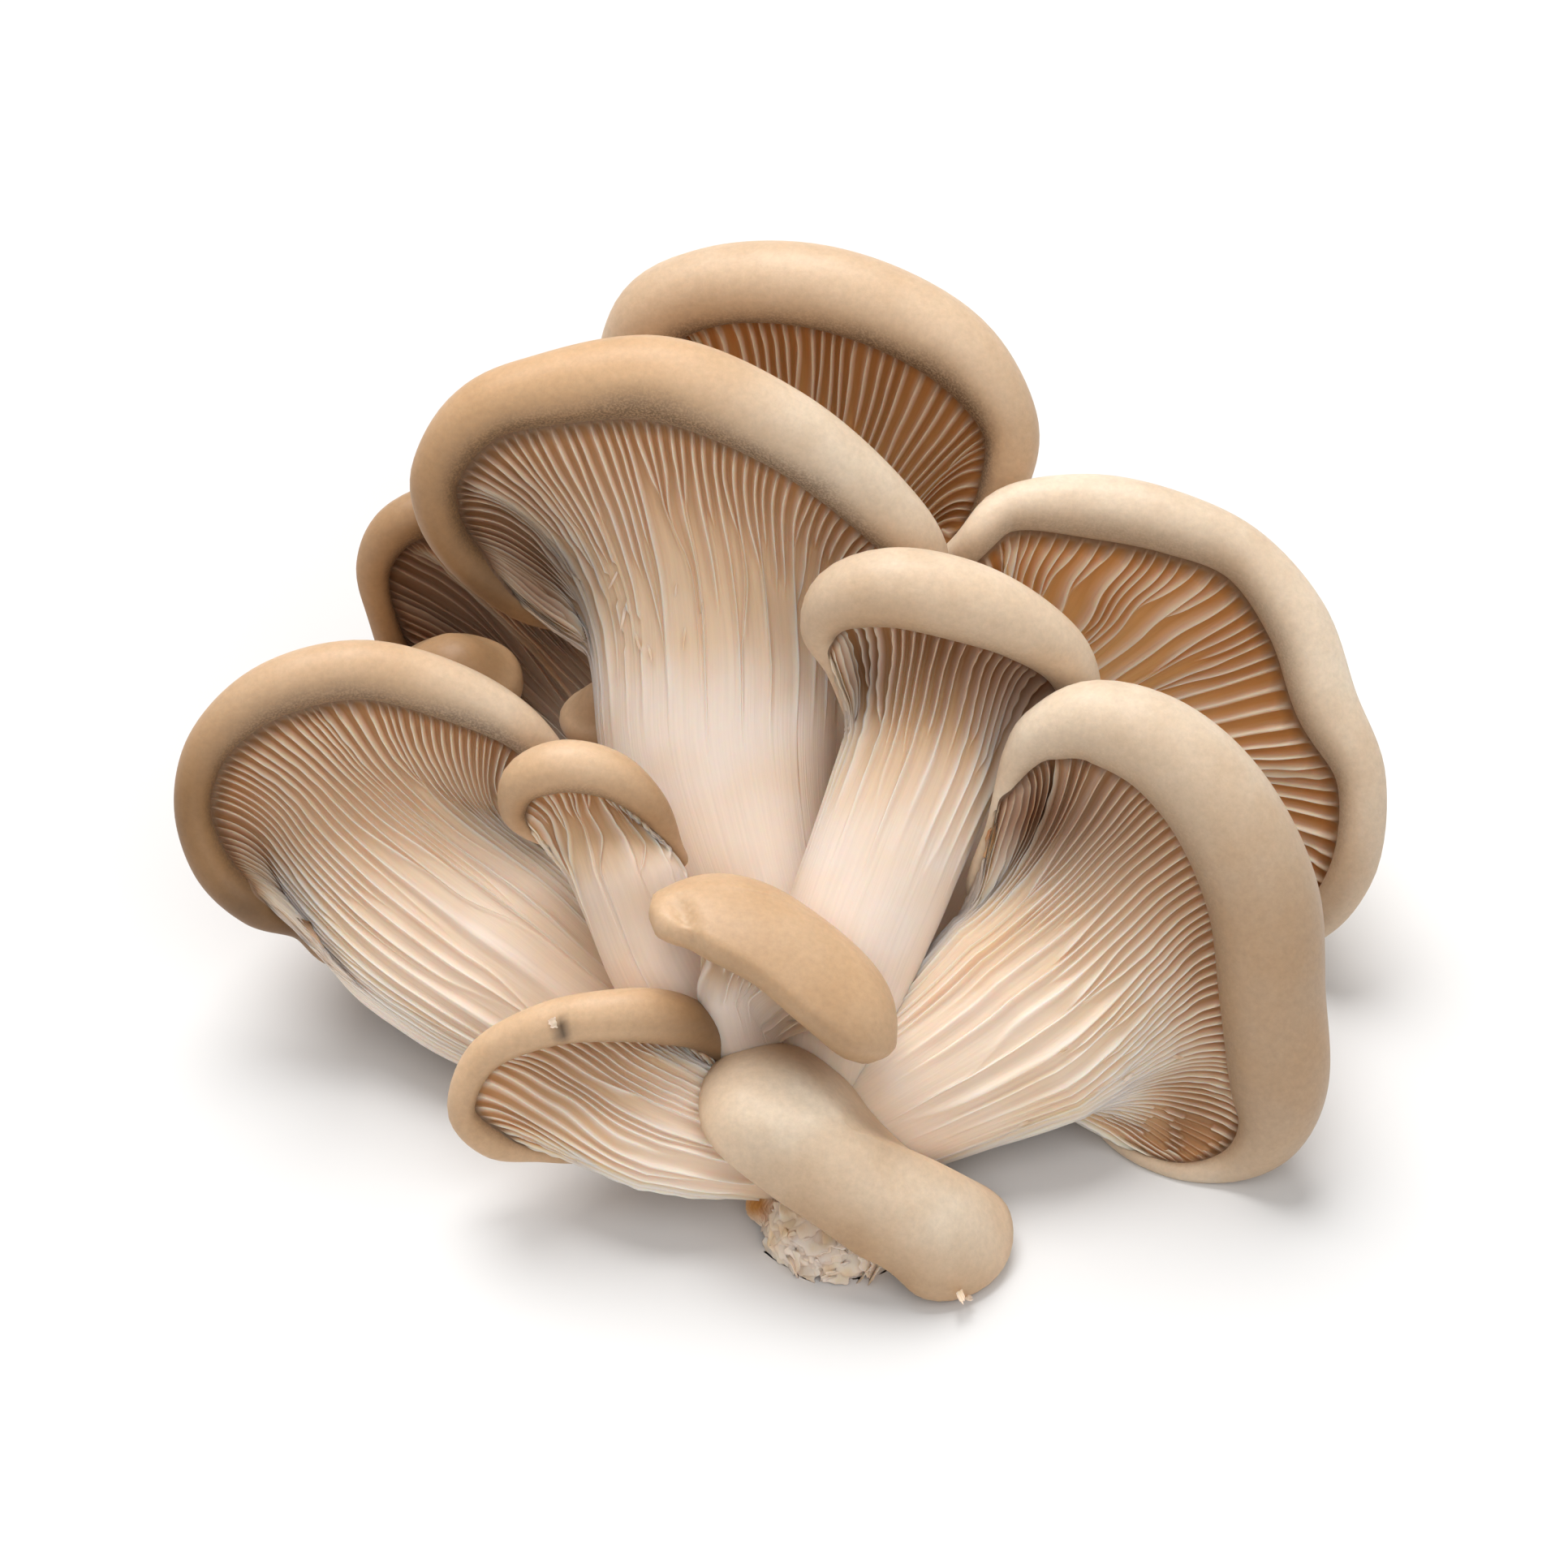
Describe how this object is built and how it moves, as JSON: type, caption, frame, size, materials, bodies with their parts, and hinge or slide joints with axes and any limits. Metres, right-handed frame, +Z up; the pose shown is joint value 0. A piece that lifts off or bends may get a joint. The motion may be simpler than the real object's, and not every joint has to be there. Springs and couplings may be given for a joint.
{
  "type": "oyster mushroom cluster",
  "caption": "Cluster of fan-shaped edible mushrooms with rolled margins and fine gills, splaying from one torn foot and lying on its side.",
  "frame": {"origin": "middle of the footprint, at the height of the surface that it lies on", "axes": "+Z up; +X to the right as seen from the gill side; -Y towards the torn foot and the viewer"},
  "size_m": [0.15, 0.1224, 0.0814],
  "materials": {
    "fawn_flesh": "satin mushroom skin, cream gills with orange-brown valleys",
    "cream_flesh": "dull fibrous torn mushroom flesh"
  },
  "bodies": {
    "root": {"base_clump": "cream_flesh", "mushroom_tall_middle": "fawn_flesh", "mushroom_back_top": "fawn_flesh", "mushroom_back_right": "fawn_flesh", "mushroom_middle_right": "fawn_flesh", "mushroom_front_right": "fawn_flesh", "mushroom_front_left": "fawn_flesh", "mushroom_back_left": "fawn_flesh", "mushroom_small_left": "fawn_flesh", "mushroom_slim_left": "fawn_flesh", "mushroom_button": "fawn_flesh", "mushroom_low_left": "fawn_flesh", "mushroom_upper_front": "fawn_flesh", "mushroom_lower_front": "fawn_flesh"}
  },
  "joints": []
}
